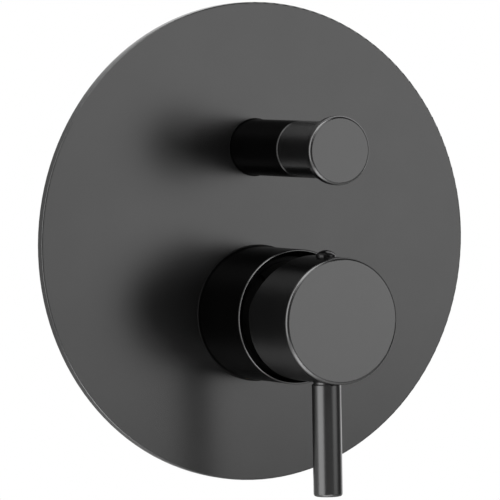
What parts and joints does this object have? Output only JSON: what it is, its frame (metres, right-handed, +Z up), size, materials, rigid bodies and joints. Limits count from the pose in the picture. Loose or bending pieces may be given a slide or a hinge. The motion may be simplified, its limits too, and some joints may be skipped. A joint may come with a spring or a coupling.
{
  "type": "concealed bath shower mixer",
  "caption": "Wall mixer for bath and shower: round cover plate, sleeved lever mixer with a straight pin handle, pull-out diverter knob above it and a brass valve body behind.",
  "frame": {"origin": "centre of the cover plate on the finished wall plane", "axes": "-Y points from the wall into the room, +Z is up, +X is to the right seen from the room"},
  "size_m": [0.17, 0.1151, 0.1719],
  "materials": {
    "matt_black": "satin matt black powder coat on brass",
    "sleeve_black": "satin matt black coat",
    "seal_rubber": "black rubber",
    "gasket_foam": "closed cell foam",
    "index_black": "glossy black",
    "cast_brass": "sand blasted raw brass",
    "blackened_brass": "black coated turned brass",
    "turned_brass": "turned brass",
    "cartridge_white": "moulded engineering plastic",
    "cartridge_grey": "moulded engineering plastic",
    "alumina": "lapped ceramic",
    "stainless": "turned stainless steel"
  },
  "bodies": {
    "wall_set": {"cover_plate": "matt_black", "plate_gasket": "gasket_foam", "mixer_seal": "seal_rubber", "diverter_seal": "seal_rubber", "mixer_sleeve": "sleeve_black", "diverter_sleeve": "sleeve_black", "cartridge_nut": "blackened_brass", "cartridge_casing": "cartridge_white", "cartridge_base": "cartridge_grey", "base_seals": "seal_rubber", "fixed_disc": "alumina", "valve_body": "cast_brass", "diverter_headwork": "turned_brass", "headwork_o_ring": "seal_rubber", "spindle_o_rings": "seal_rubber", "return_spring": "stainless", "hot_inlet_union": "turned_brass", "cold_inlet_union": "turned_brass", "shower_outlet_union": "turned_brass", "bath_outlet_union": "turned_brass", "fixing_bracket": "stainless", "bracket_screws": "stainless"},
    "turret": {"cartridge_turret": "cartridge_grey", "stem_pivot_pin": "stainless"},
    "handle": {"cartridge_stem": "stainless", "mixer_handle": "matt_black", "lever_pin": "matt_black", "handle_grub_screw": "stainless", "index_plug": "index_black"},
    "disc_slider": {"disc_carriage": "cartridge_grey", "carriage_seal": "seal_rubber", "moving_disc": "alumina"},
    "diverter": {"diverter_knob": "matt_black", "diverter_spindle": "turned_brass", "diverter_piston": "cartridge_white", "piston_seals": "seal_rubber", "piston_nut": "turned_brass"}
  },
  "joints": [
    {"name": "temperature_turn", "type": "hinge", "parent": "wall_set", "child": "turret", "pos_m": [0, -0.0365, -0.0254], "axis": [0, -1, 0], "range_deg": [-45, 45]},
    {"name": "flow_tilt", "type": "hinge", "parent": "turret", "child": "handle", "pos_m": [0, -0.0365, -0.0254], "axis": [-1, 0, 0], "range_deg": [0, 20]},
    {"name": "disc_slide", "type": "slide", "parent": "turret", "child": "disc_slider", "axis": [0, 0, -1], "range_m": [0, 0.0066]},
    {"name": "diverter_pull", "type": "slide", "parent": "wall_set", "child": "diverter", "axis": [0, -1, 0], "range_m": [0, 0.01], "stiffness_N_per_m": 300, "springref_m": -0.005, "deforming": ["return_spring"]}
  ],
  "couplings": [
    {"joint": "disc_slide", "follows": "flow_tilt", "m_per_rad": 0.018904}
  ]
}
